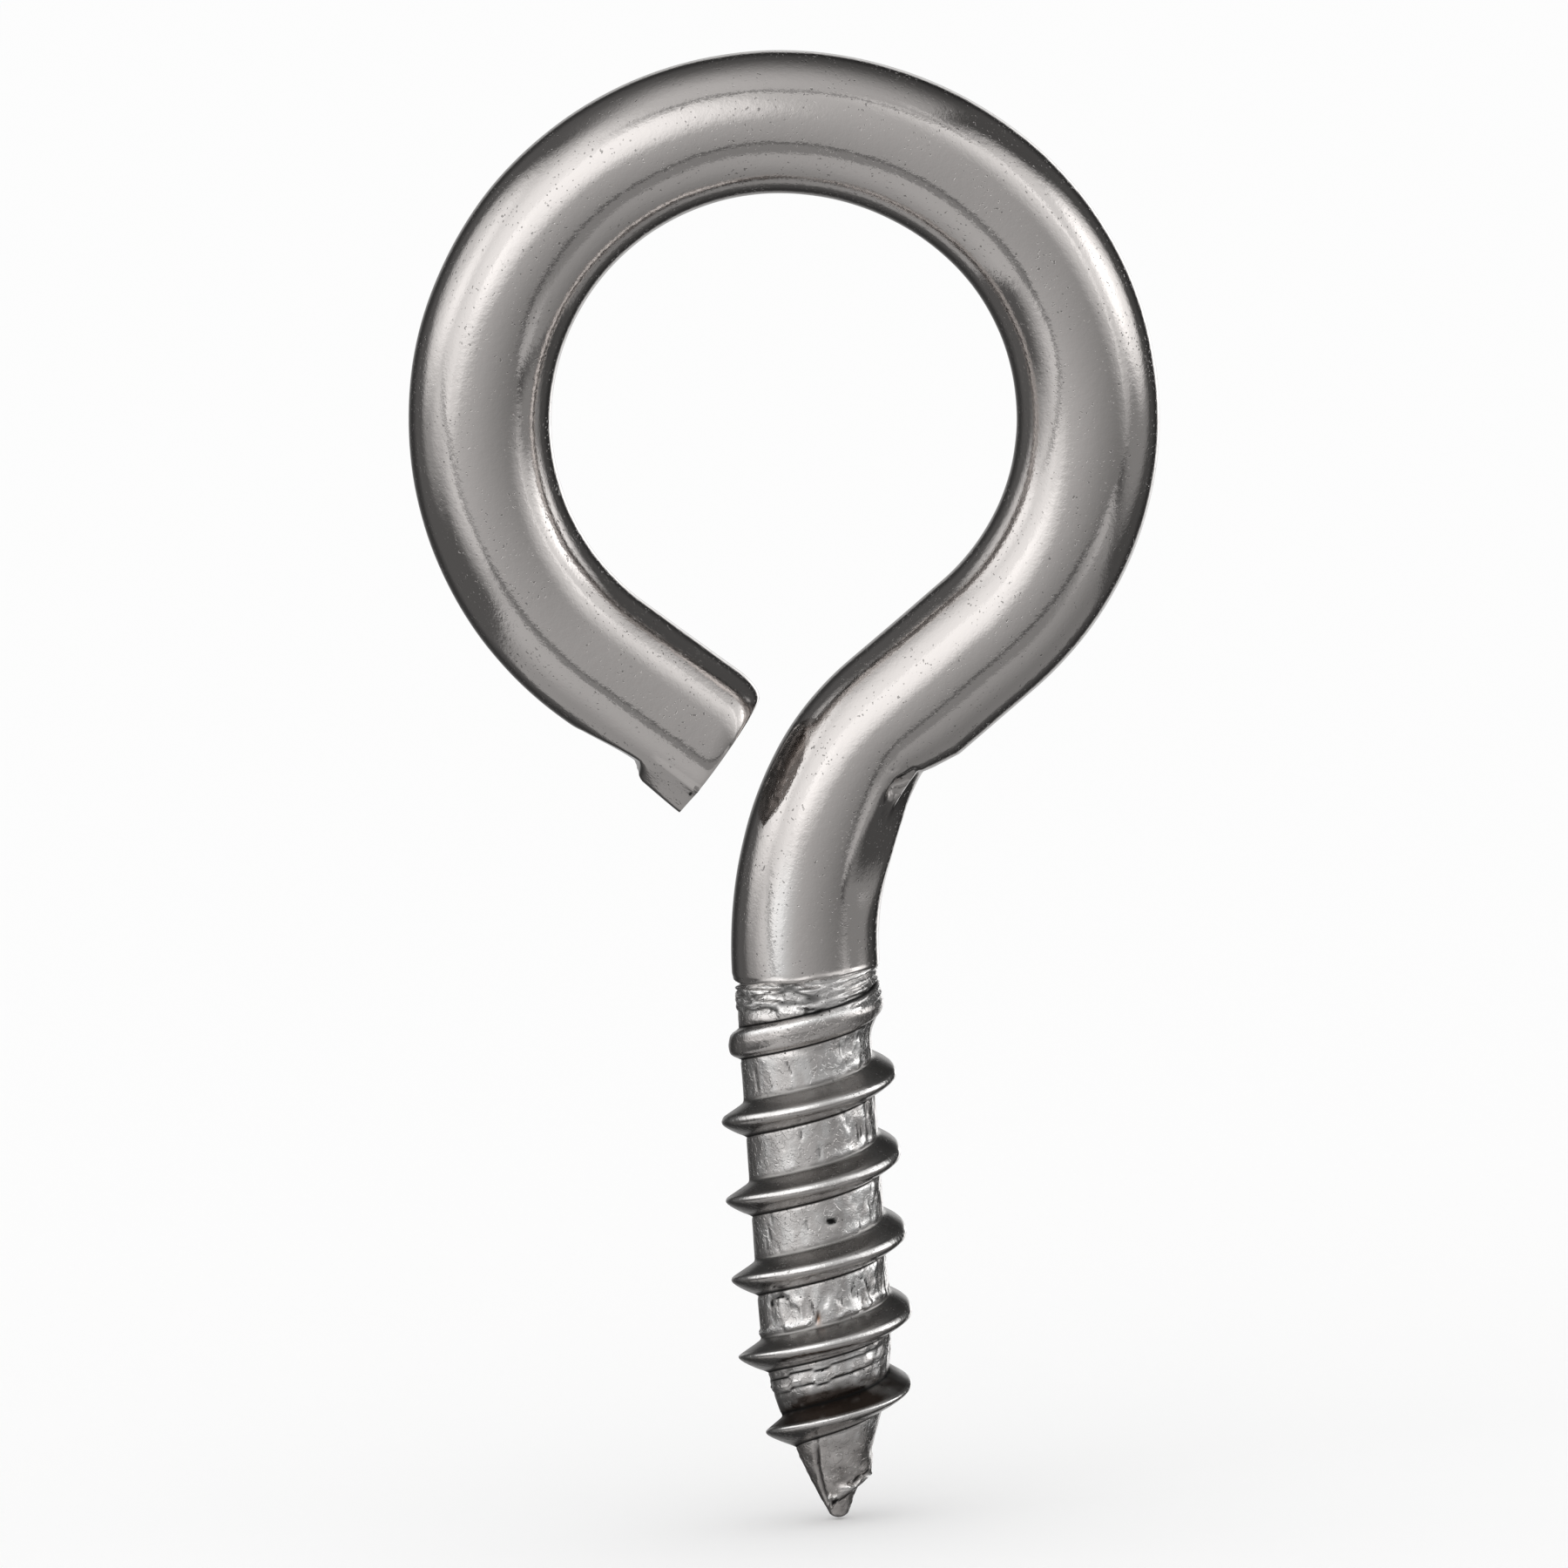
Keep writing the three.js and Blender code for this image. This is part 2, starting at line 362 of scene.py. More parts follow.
def ridge(along, around):
    """Height of the thread above the core."""
    away = from_crest(along, around)
    crest_z = along - away
    height = np.interp(crest_z, *zip(*RIDGE_PLAN))
    height -= LEAN * np.cos(around) * span(3.5, 5, 10.5, 12, crest_z)
    part_rolled = smooth(PART_ROLLED["from"], PART_ROLLED["to"], crest_z)
    foot = THREAD_FOOT - LOW_FOOT_CUT * smooth(3.4, 2.4, crest_z)
    upper = UPPER_SLOPE * (foot - UPPER_FOOT_CUT - away)
    lower = LOWER_SLOPE * foot * (1 - (np.maximum(-away, 0) / foot) ** LOWER_CURVE)
    lean = LAND_SLOPE * (1 - PART_ROLLED["less_slope"] * part_rolled)
    land = height - lean * np.maximum(away - LAND_START, 0)
    land_rounding = LAND_ROUNDING + PART_ROLLED["land_rounding"] * part_rolled
    crest_rounding = CREST_ROUNDING + PART_ROLLED["crest_rounding"] * part_rolled
    top = soft_min(soft_min(upper, land, land_rounding), lower, crest_rounding)
    return soft_max(top, 0, FOOT_ROUNDING) * smooth(0, 0.06, height)


def on_root(along, around):
    """1 on the core between two ridges, 0 on the ridges."""
    clear = smooth(0.5, 0.62, np.abs(from_crest(along, around)))
    return clear * span(2.0, 3.0, 14.4, 15.0, along)


def below_lip(along, around):
    """1 below the lip that ends the rolled metal, 0 on the smooth neck."""
    return 1 - smooth(-0.06, 0.03, along - band_lip(along, around))


def in_band(along, around):
    """1 on the wrinkled band between the thread and the smooth neck."""
    return smooth(BAND_START, BAND_START + 0.35, along) * below_lip(along, around)


def band_lip(along, around):
    """Height at which the wrinkled band ends in a small lip."""
    return BAND_LIP + 0.12 * np.cos(around) + 0.05 * waves(along * 0, around, 1.0, 18, 21)


def band_roughness(around):
    """How wrinkled the band is: 1 all round it, and less on a calm patch at its front."""
    return 1 - 0.8 * near(290, 10, around)


def upright_line(along, around, place, degrees, half_length, width, slant):
    """A short line that runs along the screw: 1 in the middle of the line."""
    bend = 0.06 * waves(along, around, 0.25, 20, 17)
    across = turn_from(degrees, around) * CORE_RADIUS + slant * (along - place) + bend
    ends = smooth(half_length, 0.6 * half_length, np.abs(along - place))
    return np.exp(-((across / width) ** 2)) * ends


def nicks(along, around, count, low, high, seed, slants=(-0.1, 0.25)):
    """Upright lines at random places between two angles."""
    rng = np.random.default_rng(seed)
    total = np.zeros_like(along)
    for _ in range(count):
        place, degrees = rng.uniform(5.4, 14.5), rng.uniform(low, high)
        half_length = rng.uniform(0.15, 0.4)
        width = rng.uniform(0.03, 0.06)
        slant = rng.uniform(*slants)
        line = upright_line(along, around, place, degrees, half_length, width, slant)
        total = np.maximum(total, line * rng.uniform(0.4, 1))
    return total


def flake_outline(along, around, place, degrees, half_length, half_width, size=1.0):
    """The ragged, broken outline of one rolled-down flake, or a line round it if size is above 1."""
    wobble = 0.22 * waves(along, around, 0.16, 44, 15) + 0.3 * waves(along, around, 0.42, 19, 71)
    unbroken = smooth(-0.35, 0.0, waves(along, around, 0.26, 34, 78))
    up = np.abs(along - place) / half_length
    across = np.abs(turn_from(degrees, around)) * CORE_RADIUS / half_width
    return bump(size + wobble, 0.14, (up ** 3 + across ** 3) ** 0.33) * unbroken


def fold_line(along, around, height):
    """A long jagged fold that climbs to the right with the thread."""
    facing = turn_from(270, around)
    jagged = 0.05 * np.tanh(3 * waves(along * 0, around, 1.0, 26, 14))
    middle = height + 0.33 * facing + jagged
    unbroken = smooth(-0.8, -0.3, waves(along * 0 + height, around, 0.3, 15, 17))
    return bump(0, 0.055, along - middle) * unbroken * smooth(2.6, 2.2, np.abs(facing))


def foot_grooves_and_shade(along, around):
    """Dark lines along the feet of the thread: painted shade in the creases where the flanks meet the
    core, also cut in as shallow grooves.
    """
    away = from_crest(along, around)
    crest_z = along - away
    lower = bump(-THREAD_FOOT, 0.055, away) * (crest_z > 2.4) * smooth(15.1, 14.8, crest_z)
    top_turn = bump(THREAD_FOOT - 0.06, 0.06, away) * span(13.3, 13.6, 15.0, 15.3, crest_z)
    low_turn = bump(THREAD_FOOT - 0.03, 0.08, away) * span(2.3, 2.7, 3.7, 4.2, crest_z)
    return lower + top_turn + 0.9 * low_turn


def cracks_and_shade(along, around):
    """Thin dirty folds and seams in the rolled metal, with painted shade along the feet of the thread and
    between the band's wrinkles: 1 in the middle of a line.
    """
    marks = [0.75 * nicks(along, around, 80, 0, 360, 16)]
    marks += [0.9 * nicks(along, around, 34, 298, 348, 18)]
    marks += [flake_outline(along, around, *flake) for flake in ROLLED_FLAKES]
    marks += [0.8 * upright_line(along, around, *seam, 0.045, 0.2) for seam in SEAMS]
    marks += [fold_line(along, around, height) for height in FOLDS]
    on_core = np.max(marks, axis=0) * on_root(along, around)
    # painted shade: dark lens shapes between the band's wrinkles, also cut in as shallow grooves
    lens_grooves_and_shade = bump(0, 0.3, waves(along, around, 0.15, 17, 22)) * in_band(along, around)
    lens_grooves_and_shade = lens_grooves_and_shade * band_roughness(around) * clear_of(335, 30, 60, around)
    on_tip = tip_fold(along, around)[1] + 0.8 * tip_flute(along, around)
    return np.minimum(on_core + 0.75 * lens_grooves_and_shade + foot_grooves_and_shade(along, around) + on_tip, 1)


def root_marks(along, around):
    """Flakes that thread rolling leaves on the core, most of them towards the right."""
    flaky = 0.1 + 0.8 * near(322, 32, around)
    flaky += 0.5 * bump(6.4, 0.5, along) + 0.5 * bump(4.7, 0.6, along)
    flaky += 1.2 * bump(6.4, 0.35, along) * smooth(1.1, 0.6, np.abs(turn_from(262, around)))
    flakes = np.tanh(8 * waves(along, around, 0.3, 52, 13)) * flaky
    ripple = waves(along, around, 0.8, 44, 12)
    folds = raised_folds(along, around) + fold_line(along, around, FOLDS[0] + RAISED_FOLD)
    height = FLAKE_HEIGHT * flakes + RIPPLE_HEIGHT * ripple + FOLD_HEIGHT * folds
    return on_root(along, around) * height + BURR_HEIGHT * foot_burr(along, around)


def foot_burr(along, around):
    """The ragged bright burr just above the upper flank of the thread."""
    away = from_crest(along, around)
    crest_z = along - away
    line = bump(0.65, 0.06, away + 0.07 * waves(along, around, 0.4, 46, 73))
    strength = 1.2 * bump(5.2, 0.6, crest_z) + 0.6 * near(316, 22, around)
    unbroken = smooth(-0.7, -0.1, waves(along, around, 0.5, 30, 74))
    return line * strength * unbroken * (crest_z > 4) * (crest_z < 13)


def raised_folds(along, around):
    """Upright folds of metal that stand out on the right of the core."""
    return nicks(along, around, 44, 294, 336, 19, (-0.5, 0.7))


def band_wrinkles(along, around):
    """Crossing wrinkles, which give way to slanting scratches at the right of the band."""
    wrinkles = np.tanh(3 * waves(along, around, 0.15, 17, 22))
    wrinkles += 0.6 * np.tanh(4 * waves(along, around, 0.11, 34, 25))
    fine = waves(along, around, 0.08, 60, 23)
    climb = along - 0.28 * turn_from(270, around) + 0.03 * waves(along, around, 0.4, 12, 26)
    scratches = np.sin(climb * 2 * math.pi / 0.21)
    scratched = clear_of(330, 60, 35, around)
    marks = WRINKLE_HEIGHT * wrinkles * (1 - scratched) + FINE_HEIGHT * fine
    return marks + SCRATCH_HEIGHT * scratches * scratched


def band_marks(along, around):
    """The sunk, wrinkled band, the lip above it, and small dents in the metal below it."""
    band = band_wrinkles(along, around) * band_roughness(around) - BAND_DEPTH
    on_lip = bump(0, 0.06, along - band_lip(along, around) - 0.05)
    rim = BAND_RIM_HEIGHT * clear_of(0, 20, 60, around) * on_lip
    dented = span(13.4, 13.8, 14.7, 15.1, along) * (np.abs(from_crest(along, around)) > THREAD_FOOT)
    dents = DENT_DEPTH * waves(along, around, 0.18, 36, 24) * dented
    return in_band(along, around) * band + rim + dents


def tip_fold(along, around):
    """The ragged fold near the point: its raised rim, and the dark lines beside it."""
    ragged = waves(along, around, 0.2, 22, 32)
    fold_z = 0.8 + 0.36 * turn_from(280, around) + 0.1 * ragged
    reach = smooth(1.3, 0.8, np.abs(turn_from(296, around)))
    rim = bump(0, 0.1, along - fold_z) * reach * (0.7 + 0.6 * ragged)
    under = bump(0, 0.06, along - fold_z + 0.16) * reach
    over = bump(0, 0.05, along - fold_z - 0.17) * reach * smooth(0.0, 0.3, turn_from(285, around))
    return rim, under + over


def tip_flute(along, around):
    """The groove that cuts the point open, on the left of its flat front."""
    across = (around - np.radians(219 + 11 * along)) * np.maximum(core_radius(along), 0.3)
    return np.exp(-((across / 0.06) ** 2)) * span(0.3, 0.6, 2.0, 2.7, along)


def tip_marks(along, around):
    """A flattened front, a flute and a small ragged fold at the point."""
    facing = smooth(0.8, 0.1, np.abs(turn_from(277, around)))
    flat = TIP_FLAT_DEPTH * span(0.9, 1.5, 2.0, 2.7, along) * facing
    rough = TIP_ROUGHNESS * waves(along, around, 0.14, 18, 31) * span(0.1, 0.4, 1.8, 2.6, along)
    rim, beside = tip_fold(along, around)
    raised = TIP_RIM_HEIGHT * rim + TIP_CHIP_HEIGHT * spot(along, around, 1.0, 307, 0.16, 0.4)
    sunk = flat + TIP_FLUTE_DEPTH * tip_flute(along, around) + TIP_UNDERCUT * beside
    return rough + raised - sunk


def flattened(radius, around, degrees, depth, rounding):
    """The radius after a flat is pressed into the wire, depth mm deep at its middle."""
    facing = np.maximum(np.cos(turn_from(degrees, around)), 0.2)
    cut = radius - soft_min(radius, (WIRE_RADIUS - depth) / facing, rounding)
    return radius - cut * smooth(0, 0.06, depth)


def core_pit(along, around, long, wide):
    """The largest pit, on the core half-way up the thread."""
    return spot(along - 0.12 * turn_from(282, around), around, 8.86, 282, long, wide)


def neck_crescent(along, around, place, long):
    """The crescent at the edge of the dimple under the eye."""
    return spot(along - 2.2 * turn_from(311, around), around, place, 311, long, 0.3)


def neck_pit(along, around, size):
    """The small round pit beside the dimple."""
    return spot(along, around, 22.96, 295, size, size)


def neck_mark(radius, along, around):
    """The dent of the bending tool under the eye: a flat that ends upwards in a scooped notch."""
    below = NECK_NOTCH_ALONG - along
    fading = 1 - (np.clip(below, 0, NECK_FLAT_LENGTH) / NECK_FLAT_LENGTH) ** 1.5
    half_angle = math.radians(NECK_FLAT_HALF_ANGLE) * fading
    depth = WIRE_RADIUS * (1 - np.cos(half_angle)) * smooth(-0.22, 0.05, below)
    middle = NECK_FLAT_FRONT + np.degrees(half_angle)
    dip = np.interp(along, *zip(*NECK_DIP_PLAN)) * near(356, 38, around)
    radius = flattened(radius - dip, around, middle, depth, 0.07)
    scoop = spot(along - 0.5 * turn_from(313, around), around, 22.36, 313, 0.42, 0.24)
    lip = spot(along + 1.2 * turn_from(325, around), around, 22.6, 326, 0.75, 0.09)
    radius += SCOOP_LIP_HEIGHT * lip - SCOOP_DEPTH * scoop
    radius -= CRESCENT_DEPTH * neck_crescent(along, around, 22.95, 0.12)
    return radius - NECK_PIT_DEPTH * neck_pit(along, around, 0.07)


def end_tab(back, around):
    """The sharp corner into which the shear squeezed the outside of the wire."""
    front_angle, rear_angle = TAB_CORNER["front"], TAB_CORNER["rear"]
    front = WIRE_RADIUS / np.maximum(np.cos(turn_from(front_angle, around)), 0.5)
    rear = TAB_CORNER["rear_radius"] / np.maximum(np.cos(turn_from(rear_angle, around)), 0.5)
    corner = np.maximum(soft_min(front, rear, 0.02) - WIRE_RADIUS, 0)
    corner *= np.abs(turn_from((front_angle + rear_angle) / 2, around)) < math.radians(40)
    start = END_FLAT["back"]
    return corner * smooth(start - 0.02, start - 0.35, back) * (1.35 - 0.45 * back)


def end_mark(radius, along, around):
    """The tool flat behind the free end, and the edge that the shear rolled over."""
    back = WIRE_LENGTH - along
    depth = END_FLAT["depth"] * smooth(END_FLAT["back"] - 0.22, END_FLAT["back"] + 0.12, back)
    depth *= 1 - smooth(END_FLAT["back"], END_FLAT["back"] + END_FLAT["length"], back)
    radius = flattened(radius, around, END_FLAT["round"], depth, 0.03)
    radius = radius + end_tab(back, around)
    inner = 0.5 - 0.5 * np.cos(turn_from(340, around))
    reach = 0.25 + 0.75 * inner
    drop = 0.01 + 0.34 * inner
    rolled = np.clip(1 - back / reach, 0, 1)
    return radius - drop * (1 - np.sqrt(1 - 0.96 * rolled ** 2))


def wire_radius(along, around):
    """Distance from the middle of the wire to its surface."""
    in_neck = smooth(15.8, 16.0, along)
    screw = core_radius(along) + ridge(along, around) + root_marks(along, around)
    screw = screw + tip_marks(along, around) - CRACK_DEPTH * cracks_and_shade(along, around)
    plain = WIRE_RADIUS + NECK_SWELL * smooth(23.5, 20, along)
    plain += WIRE_RIPPLE * waves(along, around, 2.0, 9, 41)
    plain += WIRE_FINE_RIPPLE * waves(along, around, 0.8, 20, 42)
    radius = screw * (1 - in_neck) + plain * in_neck + band_marks(along, around)
    radius -= CORE_PIT_DEPTH * core_pit(along, around, 0.1, 0.2)
    return end_mark(neck_mark(radius, along, around), along, around)


def spaced(steps, ends):
    """A table of distance along the wire against grid line number, for spacings given as a plan."""
    along = np.linspace(*ends, 8001)
    step = np.interp(along, *zip(*steps))
    number = np.concatenate([[0], np.cumsum(np.diff(along) * 2 / (step[1:] + step[:-1]))])
    return along, number


def gathered(phase):
    """How far to move the even grid lines of one turn, to gather them at the crest and the feet."""
    away = np.linspace(-PITCH / 2, PITCH / 2, 2001)
    density = 1 + CREST_GATHERING * bump(0.03, 0.12, away)
    density += FOOT_GATHERING * bump(THREAD_FOOT, 0.15, np.abs(away))
    share = np.cumsum(density) / density.sum() - 0.5
    return np.interp(phase, share, away) - phase * PITCH


class Tube:
    """Grid points on the wire, given as along and around, and the faces between them."""

    def __init__(self):
        self.along, self.around, self.faces, self.count = [], [], [], 0

    def add(self, along, around):
        first = self.count
        self.along.append(along)
        self.around.append(around)
        self.count += len(along)
        return first


def add_screw(tube):
    """Long grid lines that follow the thread, so that its crest stays sharp. Returns both rims."""
    along_table, number_table = spaced(SCREW_STEPS, (0, SCREW_TOP))
    crest = CREST_LEFT_Z - PITCH / 2
    number_table -= np.interp(EVEN_LINE_ALONG, along_table, number_table)
    number_table += (EVEN_LINE_ALONG - crest) / THREAD_STEP
    first, last = number_table[0], number_table[-1]
    lead = LINES_PER_TURN / SCREW_COLUMNS
    columns = []
    for column in range(SCREW_COLUMNS + 1):
        low = math.ceil(first - column * lead)
        high = math.floor(last - column * lead)
        line = np.arange(low, high + 1)
        number = line + column * lead
        number[0], number[-1] = first, last
        place = np.interp(number, number_table, along_table)
        phase = (line / LINES_PER_TURN + 0.5) % 1 - 0.5
        place += (gathered(phase) + runout(place)) * span(0.6, 1.6, 14.2, 15.0, place)
        if column < SCREW_COLUMNS:
            start = tube.add(place, np.full(len(line), 2 * math.pi * column / SCREW_COLUMNS))
            columns.append((start - low, low, high))
    start, low, high = columns[0]
    columns.append((start + LINES_PER_TURN, low - LINES_PER_TURN, high - LINES_PER_TURN))
    for (here, low, high), (there, next_low, next_high) in zip(columns, columns[1:]):
        if next_low < low:
            tube.faces.append((here + low, there + next_low, there + low))
        for line in range(low, min(high, next_high)):
            tube.faces.append((here + line, there + line, there + line + 1, here + line + 1))
        if next_high < high:
            tube.faces.append((here + high - 1, there + next_high, here + high))
    tip_rim = [start + low for start, low, _ in columns[:-1]]
    top_rim = [start + high for start, _, high in columns[:-1]]
    return tip_rim, top_rim


def add_wire(tube, rim):
    """Plain rings from the screw to the free end, with half as many columns. Returns the last ring."""
    along_table, number_table = spaced(WIRE_STEPS, (SCREW_TOP, WIRE_LENGTH))
    rings = round(number_table[-1])
    around = np.arange(0, SCREW_COLUMNS, 2) * 2 * math.pi / SCREW_COLUMNS
    size = len(around)
    previous = rim[::2]
    for ring in range(1, rings + 1):
        place = np.interp(number_table[-1] * ring / rings, number_table, along_table)
        first = tube.add(np.full(size, place), around)
        for k in range(size):
            following = (k + 1) % size
            between = (rim[2 * k + 1],) if ring == 1 else ()
            tube.faces.append((previous[k], *between, previous[following], first + following, first + k))
        previous = [first + k for k in range(size)]
    return previous


def surface(along, around):
    """Places of grid points in the row frame, in millimetres."""
    radius = wire_radius(along, around)
    x, z, out_x, out_z = centre_line(along)
    across = radius * np.cos(around)
    points = np.stack([x + across * out_x, radius * np.sin(around), z + across * out_z], axis=1)
    back = smooth(0.6, 0, WIRE_LENGTH - along)
    slant = -math.tan(SHEAR_TILT) * across * back
    points[:, 0] += slant * -out_z
    points[:, 2] += slant * out_x
    return points


def add_end_face(points, faces, rim):
    """The sheared face: rings that shrink to its middle, smooth at the inside and torn at the outside."""
    edge = points[rim]
    middle = edge.mean(axis=0)
    size = len(rim)
    normal = np.cross(edge[0] - middle, edge[size // 4] - middle)
    normal /= np.linalg.norm(normal)
    turned = 2 * math.pi * np.arange(size) / size
    previous = rim
    for share in FACE_RINGS:
        ring = middle + (edge - middle) * share
        outward, sideways = share * np.cos(turned), share * np.sin(turned)
        torn = smooth(-0.5, 0.3, outward + 0.2 * np.sin(5 * sideways))
        tears = np.sin(16 * outward + 3 * np.sin(4 * sideways))
        tears += 0.5 * np.sin(9 * sideways + 5 * outward)
        lift = TEAR_HEIGHT * tears * torn * smooth(1, 0.9, share) - TORN_DEPTH * torn * (share < 0.95)
        ring += normal * lift[:, None]
        first = len(points)
        points = np.concatenate([points, ring])
        for k in range(size):
            following = (k + 1) % size
            faces.append((previous[k], previous[following], first + following, first + k))
        previous = [first + k for k in range(size)]
    points = np.concatenate([points, [middle]])
    faces += [(previous[k], previous[(k + 1) % size], len(points) - 1) for k in range(size)]
    return points


def screw_eye_piece():
    """The whole wire as one closed mesh, with the marks for the material stored on its points."""
    tube = Tube()
    tip_rim, top_rim = add_screw(tube)
    end_rim = add_wire(tube, top_rim)
    along, around = np.concatenate(tube.along), np.concatenate(tube.around)
    points = surface(along, around)
    tip = len(points)
    points = np.concatenate([points, [(SCREW_AXIS_X, 0, 0)]])
    size = len(tip_rim)
    faces = tube.faces + [(tip, tip_rim[(k + 1) % size], tip_rim[k]) for k in range(size)]
    points = add_end_face(points, faces, end_rim)
    mesh = bpy.data.meshes.new("screw_eye_wire")
    mesh.from_pydata(points * MM, [], faces)
    mesh.shade_smooth()
    mesh.set_sharp_from_angle(angle=SHARP_ANGLE)
    piece = bpy.data.objects.new("screw_eye_wire", mesh)
    bpy.context.scene.collection.objects.link(piece)
    for name, values in surface_marks(along, around).items():
        layer = mesh.attributes.new(name, "FLOAT", "POINT")
        on_ends = 0.5 if name == "rolled" else 0.0
        padded = np.concatenate([values, np.full(len(points) - len(values), on_ends)])
        layer.data.foreach_set("value", padded.astype(np.float32))
    return piece


def dirt(along, around):
    """Dark dirt above the lowest turn of the thread, and in patches on the point."""
    away = from_crest(along, around)
    crest_z = along - away
    on_turn = bump(3.2, 0.7, crest_z) * span(0.06, 0.14, 0.45, 1.1, away)
    to_right = smooth(0, 0.6, turn_from(290, around))
    patchy = 1.5 - 0.9 * to_right + 0.9 * waves(along, around, 0.13, 44, 61)
    on_tip = smooth(2.7, 2.1, along) * (0.15 + 0.3 * waves(along, around, 0.22, 14, 64))
    rim = tip_fold(along, around)[0]
    return np.clip(on_tip * (1 - rim) + on_turn * patchy, 0, 0.95)


def worn_and_highlight(along, around):
    """Bright rubbed metal: crests, burrs, raised folds and the edges of flakes. The crests also carry a
    painted highlight, and the shoulder of the top turn and a streak on the neck are painted highlights.
    """
    away = from_crest(along, around)
    crest_z = along - away
    # the crest's land: rubbed metal that also carries a painted highlight
    crest = span(-0.06, -0.01, 0.07, 0.12, away) * (crest_z > 2.2) * (crest_z < THREAD_END_Z)
    folds = raised_folds(along, around) + smooth(0.1, 0.5, waves(along, around, 0.35, 50, 62))
    streaks = 0.25 + 0.5 * smooth(-0.3, 0.6, waves(along, around, 0.5, 56, 63))
    edges = np.max([flake_outline(along, around, *flake, 1.3) for flake in ROLLED_FLAKES], axis=0)
    on_core = (folds * near(313, 22, around) + streaks + edges) * on_root(along, around)
    # painted highlight along the upper shoulder of the part-rolled top turn
    painted_shoulder_highlight = bump(0.25, 0.07, away) * span(13.4, 13.9, 14.8, 15.1, crest_z)
    # painted highlight: a bright streak down the front of the neck, in place of a reflection there
    painted_neck_highlight = near(249, 9, around) * span(15.9, 16.2, 17.5, 20, along)
    total = 0.75 * crest + on_core + painted_shoulder_highlight + 0.7 * in_band(along, around) + 0.8 * painted_neck_highlight
    return np.clip(total + foot_burr(along, around) + tip_fold(along, around)[0], 0, 1)


def pits(along, around):
    """Dark pits on the core, under the eye and near the free end."""
    total = core_pit(along, around, 0.115, 0.22) + neck_crescent(along, around, 22.9, 0.09)
    total += neck_pit(along, around, 0.06) + spot(along, around, 74.1, 317, 0.06, 0.14)
    return np.minimum(total, 1)


def flanks(along, around):
    """The upper and the lower flank of the fully formed thread, which the material darkens as painted
    shade.
    """
    away = from_crest(along, around)
    formed = (along - away < THREAD_END_Z) * (along > THREAD_START_Z)
    upper = span(0.06, 0.11, 0.5, 0.62, away)
    lower = span(-0.62, -0.5, -0.12, -0.05, away)
    return upper * formed, lower * formed


def surface_marks(along, around):
    """Where the metal is rolled, worn, dirty and so on at each grid point, and where shade and highlights
    are painted, for the material.
    """
    away = from_crest(along, around)
    crest_z = along - away
    on_ridge = smooth(0.56, 0.46, np.abs(away)) * (crest_z < 14.4) * (crest_z > THREAD_START_Z)
    upper_flank, lower_flank = flanks(along, around)
    return {
        "rolled": below_lip(along, around) * (1 - 0.7 * on_ridge),
        "worn_and_highlight": worn_and_highlight(along, around),
        "upper_flank": upper_flank,
        "lower_flank": lower_flank,
        "rust": spot(along, around, 6.1, 264, 0.16, 0.08),
        "stain": dirt(along, around),
        "crack_and_shade": cracks_and_shade(along, around),
        "pit": pits(along, around),
    }


# =============================== node helper ===============================

class Term:
    """A number in a node tree that can be used in ordinary arithmetic."""

    def __init__(self, tree, socket):
        self.tree, self.socket = tree, socket

    def math(self, operation, *others):
        node = self.tree.nodes.new("ShaderNodeMath")
        node.operation = operation
        for place, value in zip(node.inputs, (self, *others)):
            if isinstance(value, Term):
                self.tree.links.new(value.socket, place)
            else:
                place.default_value = value
        return Term(self.tree, node.outputs[0])

    def __add__(self, other):
        return self.math("ADD", other)

    def __sub__(self, other):
        return self.math("SUBTRACT", other)

    def __mul__(self, other):
        return self.math("MULTIPLY", other)

    __radd__, __rmul__ = __add__, __mul__

    def __neg__(self):
        return self.math("MULTIPLY", -1.0)

    def __rsub__(self, other):
        return -self + other

    def ramp(self, low, high):
        """0 below low, 1 above high, and a smooth ramp between them."""
        node = self.tree.nodes.new("ShaderNodeMapRange")
        node.interpolation_type = "SMOOTHSTEP"
        self.tree.links.new(self.socket, node.inputs["Value"])
        node.inputs["From Min"].default_value = low
        node.inputs["From Max"].default_value = high
        return Term(self.tree, node.outputs["Result"])

    def mix(self, other, share):
        """This value where share is 0, the other where share is 1."""
        return self + (other - self) * share


# =============================== studio ===============================

def camera_axes():
    """Right, up and back of the camera."""
    level = Vector((1, 0, 0))
    up = Vector((0, math.sin(CAMERA_ELEVATION), math.cos(CAMERA_ELEVATION)))
    back = Vector((0, -math.cos(CAMERA_ELEVATION), math.sin(CAMERA_ELEVATION)))
    c, s = math.cos(CAMERA_ROLL), math.sin(CAMERA_ROLL)
    return level * c - up * s, level * s + up * c, back


def add_camera():
    """A distant camera with a long lens, because the photograph shows almost no perspective."""
    right, up, back = camera_axes()
    data = bpy.data.cameras.new("camera")
    data.lens, data.sensor_width = LENS, SENSOR
    data.clip_start, data.clip_end = 0.1, 10
    camera = bpy.data.objects.new("camera", data)
    bpy.context.scene.collection.objects.link(camera)
    target = (cad_low + cad_high) / 2 + VIEW_SHIFT * MM
    place = target + back * VIEW_HEIGHT * LENS / SENSOR * MM
    turn = Matrix((right, up, back)).transposed().to_4x4()
    camera.matrix_world = Matrix.Translation(place) @ turn
    bpy.context.scene.camera = camera


def direction(tree, axis, ray):
    """How far a ray points along an axis, from -1 to 1."""
    node = tree.nodes.new("ShaderNodeVectorMath")
    node.operation = "DOT_PRODUCT"
    tree.links.new(ray, node.inputs[0])
    node.inputs[1].default_value = axis
    return Term(tree, node.outputs["Value"])


